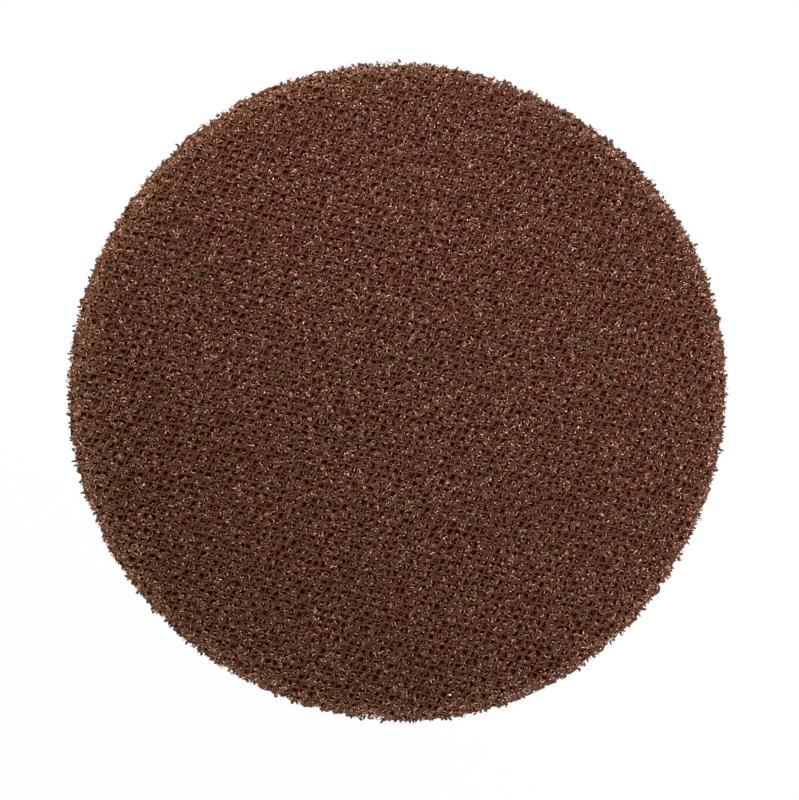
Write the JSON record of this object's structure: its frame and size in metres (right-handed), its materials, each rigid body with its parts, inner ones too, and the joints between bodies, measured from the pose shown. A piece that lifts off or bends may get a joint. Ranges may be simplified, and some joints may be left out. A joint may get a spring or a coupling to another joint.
{
  "type": "mesh sanding disc",
  "caption": "Round abrasive net disc: a coated knitted mesh of small four-sided openings, with a looped back that a sander's pad grips.",
  "frame": {"origin": "centre of the disc, on the flat looped back that it lies on", "axes": "+Z out of the abrasive face, +Y towards the top of the picture, +X to its right"},
  "size_m": [0.15, 0.15, 0.0015],
  "materials": {
    "coated_net": "Knitted net under red-brown resin and fine grit: matt strands, with glossy loops behind them and an amber cut edge."
  },
  "bodies": {
    "root": {"mesh_disc": "coated_net"}
  },
  "joints": []
}
